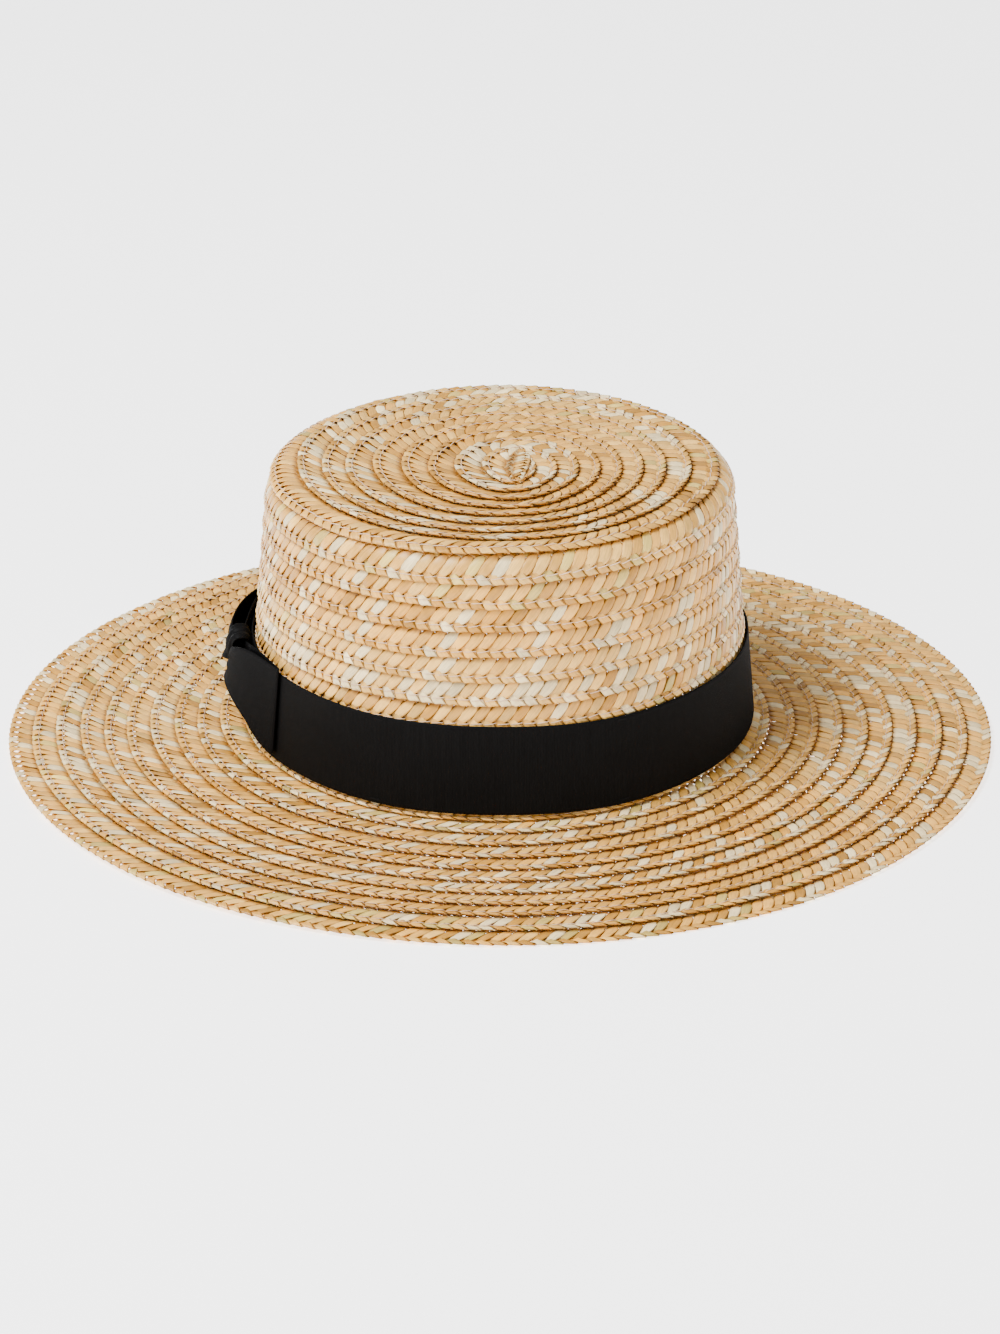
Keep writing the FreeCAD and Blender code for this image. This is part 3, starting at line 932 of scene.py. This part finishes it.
knot = make_strip("bow_knot_cloth", np.linspace(0, 2 * np.pi, 97)[:-1], knot_section(41),
                  knot_place, True)
knot.data.materials.append(RIBBON)
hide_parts("bow_knot")
print("the knot is %.0f mm tall" % (2 * KNOT_HEIGHT_HALF))

# %% [markdown]
# ## Inside the crown
# A sweatband keeps the straw off the forehead. It is a plain cotton ribbon, sewn to the foot of the
# crown along its lower edge, with a small blank size label at the back. The upper edge hangs free,
# so it waves more than the lower one.

# %% Sweatband, its stitches and the label
INNER_DROP = THICKNESS * LAP / PITCH
SWEATBAND_THICKNESS = 0.7
SWEATBAND_MIDDLE = -INNER_DROP - RIBBON_GAP - SWEATBAND_THICKNESS / 2
sweat_low, sweat_high = (corner[2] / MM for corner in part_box("sweatband"))
SWEAT_WIDTH = sweat_high - sweat_low
SWEAT_LENGTHS, SWEAT_AZIMUTHS = round_the_oval(
    wall_width((sweat_low + sweat_high) / 2, SWEATBAND_MIDDLE))


def sweatband_place(u, v, t):
    """The sweatband: slow waves that grow towards its free upper edge."""
    azimuth = -np.interp(u, SWEAT_LENGTHS, SWEAT_AZIMUTHS)
    free = (v / SWEAT_WIDTH + 0.5) ** 2
    wave = free * (0.25 * np.sin(11 * azimuth) + 0.2 * np.sin(17 * azimuth + 1) - 0.35)
    z = (sweat_low + sweat_high) / 2 + v + 0.15 * np.sin(5 * azimuth)
    return beside_wall(azimuth, z, SWEATBAND_MIDDLE + wave + t)


def cotton_material(name, colour, rib_bump):
    """Cotton ribbon: fine bands from one sine wave on the UV map, with a slight unevenness."""
    material, tree, shader = new_material(name)
    uv = add_node(tree, "ShaderNodeUVMap", uv_map="UVMap").outputs["UV"]
    ribs = add_node(tree, "ShaderNodeTexWave", Scale=0.6, Distortion=0.3)
    tree.links.new(uv, ribs.inputs["Vector"])
    stain = noise(tree, mapped(tree, uv, (0.05, 0.08, 1.0)), 1.0, 3.0)
    mix = add_node(tree, "ShaderNodeMix", data_type="RGBA")
    mix.inputs["A"].default_value = (*[c * 0.86 for c in colour], 1)
    mix.inputs["B"].default_value = (*colour, 1)
    tree.links.new(stain, mix.inputs["Factor"])
    tree.links.new(mix.outputs["Result"], shader.inputs["Base Color"])
    shader.inputs["Roughness"].default_value = 0.85
    shader.inputs["Sheen Weight"].default_value = 0.1
    bump(tree, shader, ribs.outputs["Fac"], rib_bump, 0.6)
    return material


sweatband = make_strip("sweatband_cloth", np.linspace(0, SWEAT_LENGTHS[-1], 481)[:-1],
                       strip_section(SWEAT_WIDTH, SWEATBAND_THICKNESS, 6), sweatband_place, True)
sweatband.data.materials.append(cotton_material("sweatband_cotton", (0.74, 0.66, 0.52), 0.00012))
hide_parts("sweatband")

SWEAT_SEAM_UP = 3.0
SWEAT_STITCH = 3.2


def sweat_seam(length, across, up):
    """The sweatband's seam, on its inner face near the lower edge."""
    v = SWEAT_SEAM_UP - SWEAT_WIDTH / 2 + across
    return sweatband_place(length, v, -SWEATBAND_THICKNESS / 2 - up)


sweat_starts = np.arange(0, SWEAT_LENGTHS[-1] - SWEAT_STITCH, SWEAT_STITCH)
seam = sew("sweatband_stitches", sweat_starts, 0.15, -0.08, sweat_seam, THREAD_HALF, SWEAT_STITCH)
seam.data.materials.append(SEAM_THREAD)
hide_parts("sweatband_stitching")

label_low, label_high = (corner[2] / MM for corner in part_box("size_label"))
LABEL_WIDTH = 22.0
LABEL_RADIUS = wall_width(30.0, SWEATBAND_MIDDLE) + OVAL_EXTRA - ARC


def label_place(u, v, t):
    """The label: flat on the sweatband at the back, with its two ends drawn in by their stitches."""
    azimuth = math.pi / 2 + (u - LABEL_WIDTH / 2) / LABEL_RADIUS
    puff = 0.25 * np.sin(np.pi * u / LABEL_WIDTH) ** 0.5
    z = (label_low + label_high) / 2 + v
    return beside_wall(azimuth, z, SWEATBAND_MIDDLE - SWEATBAND_THICKNESS / 2 - 0.75 - puff + t)


label = make_strip("size_label_cloth", np.linspace(0, LABEL_WIDTH, 33),
                   strip_section(label_high - label_low, 0.3, 6), label_place, False)
label.data.materials.append(cotton_material("label_satin", (0.80, 0.78, 0.72), 0.00005))
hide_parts("size_label")

BLACK_THREAD = thread_material("black_thread", (0.004, 0.004, 0.0045), 0.08)
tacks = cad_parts["band_tack_stitches"]
for material_slot in tacks.material_slots:
    material_slot.material = BLACK_THREAD
print("the sweatband is %.0f mm round" % SWEAT_LENGTHS[-1])
print("the tacks have", len(tacks.material_slots), "slots")

# %% [markdown]
# ## The floor
# The hat lies on a plain pale floor. A large flat mesh is enough, and it is not attached to the
# hat's body, so it isn't part of the hat. A floor that ended at a wall would leave a line, so it
# reaches far behind. It glows a little, like the lit white sheet of a light table, which keeps the
# ground clean and pale.

# %% Floor
FLOOR_SIZE = 24.0


def floor_material():
    """Matt white, with a very faint unevenness so that it isn't a dead flat colour."""
    material, tree, shader = new_material("floor")
    coordinate = tree.nodes.new("ShaderNodeTexCoord").outputs["Object"]
    value = noise(tree, coordinate, 3.0)
    mix = add_node(tree, "ShaderNodeMix", data_type="RGBA")
    mix.inputs["A"].default_value = (0.90, 0.90, 0.905, 1)
    mix.inputs["B"].default_value = (0.92, 0.92, 0.922, 1)
    tree.links.new(value, mix.inputs["Factor"])
    tree.links.new(mix.outputs["Result"], shader.inputs["Base Color"])
    shader.inputs["Roughness"].default_value = 0.9
    shader.inputs["Emission Color"].default_value = (1, 1, 1, 1)
    shader.inputs["Emission Strength"].default_value = 2.4
    return material


corner = FLOOR_SIZE / 2 / MM
corners = [(-corner, -corner, 0), (corner, -corner, 0), (corner, corner, 0), (-corner, corner, 0)]
floor = new_piece("floor", corners, [(0, 1, 2, 3)], body=None)
floor.data.materials.append(floor_material())
print("the floor is", FLOOR_SIZE, "m wide")

# %% [markdown]
# ## Light
# Studio light for pale straw is soft and comes from several sides: a large lamp above and to the
# left makes the crown round, a smaller one from the front opens the shadow under the ribbon, and a
# bright world fills the rest. Small hard lamps would make every strand sparkle and hide the plait.

# %% Lamps and world
def add_lamp(name, place_at, power, size):
    """A square area lamp that looks at the middle of the hat."""
    data = bpy.data.lights.new(name, "AREA")
    data.energy, data.size = power, size
    lamp = bpy.data.objects.new(name, data)
    bpy.context.scene.collection.objects.link(lamp)
    lamp.location = place_at
    away = lamp.location - MathVector((0.0, 0.0, 0.04))
    lamp.rotation_euler = away.to_track_quat("Z", "Y").to_euler()


add_lamp("key", (-0.95, -0.55, 1.7), 72, 0.8)
add_lamp("front", (0.9, -1.9, 0.9), 11, 0.9)
world = bpy.data.worlds.new("studio")
bpy.context.scene.world = world
world.use_nodes = True
background = world.node_tree.nodes["Background"]
background.inputs["Color"].default_value = (1.0, 1.0, 1.0, 1)
background.inputs["Strength"].default_value = 0.55
print("the lamps and the world are set")

# %% [markdown]
# ## Camera
# The camera stands in front of the hat and a little above it, and looks down by 22 degrees, so that
# the tip shows as a flat oval and the brim as a wide one. A long lens keeps the ovals true.

# %% Camera
CAMERA_PLACE = (0.0, -1.55763, 0.66161)
LOOK_DOWN = 22.288
camera_data = bpy.data.cameras.new("camera")
camera_data.lens, camera_data.sensor_width = 125.0, 36.0
camera_data.dof.use_dof = False
camera = bpy.data.objects.new("camera", camera_data)
camera.location = CAMERA_PLACE
camera.rotation_euler = (math.radians(90 - LOOK_DOWN), 0.0, 0.0)
bpy.context.scene.collection.objects.link(camera)
bpy.context.scene.camera = camera
print("the camera looks down by", LOOK_DOWN, "degrees")
